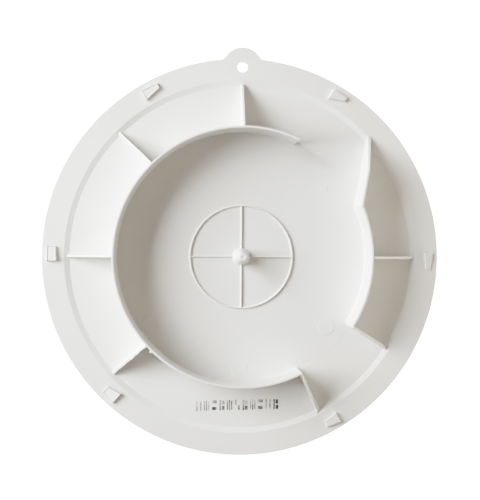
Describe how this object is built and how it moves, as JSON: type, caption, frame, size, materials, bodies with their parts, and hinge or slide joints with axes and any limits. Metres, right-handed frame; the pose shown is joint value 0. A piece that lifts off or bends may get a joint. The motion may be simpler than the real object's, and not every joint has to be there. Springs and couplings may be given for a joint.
{
  "type": "bathroom extractor fan cover",
  "caption": "Round plastic cover of a bathroom extractor fan: a disc with a scroll wall, an outlet guide wall, gusset ribs, rim clips, a centre pin and a hanging lug.",
  "frame": {"origin": "on the disc's axis, at the smooth outer face it lies on", "axes": "+Z out of the inside of the cover, along the disc's axis; +Y from the axis towards the hanging lug; +X to the right seen from the inside"},
  "size_m": [0.18, 0.1851, 0.0192],
  "materials": {
    "shell_plastic": "off-white moulded ABS, satin to matte, with a faint warm tint",
    "stamp_ink": "worn dark grey stamping ink"
  },
  "bodies": {
    "root": {"floor_plate": "shell_plastic", "step_ring": "shell_plastic", "rim_flange": "shell_plastic", "hanging_lug": "shell_plastic", "scroll_wall_1": "shell_plastic", "scroll_wall_2": "shell_plastic", "scroll_wall_3": "shell_plastic", "scroll_wall_4": "shell_plastic", "scroll_wall_5": "shell_plastic", "scroll_wall_6": "shell_plastic", "scroll_wall_7": "shell_plastic", "outlet_guide_wall": "shell_plastic", "gusset_rib_1": "shell_plastic", "gusset_rib_2": "shell_plastic", "gusset_rib_3": "shell_plastic", "gusset_rib_4": "shell_plastic", "gusset_rib_5": "shell_plastic", "gusset_rib_6": "shell_plastic", "gusset_rib_7": "shell_plastic", "rim_clip_1": "shell_plastic", "rim_clip_2": "shell_plastic", "rim_clip_3": "shell_plastic", "rim_clip_4": "shell_plastic", "rim_clip_5": "shell_plastic", "rim_clip_6": "shell_plastic", "centre_ring": "shell_plastic", "centre_spoke_1": "shell_plastic", "centre_spoke_2": "shell_plastic", "centre_spoke_3": "shell_plastic", "centre_spoke_4": "shell_plastic", "centre_boss": "shell_plastic", "centre_pin": "shell_plastic"}
  },
  "joints": []
}
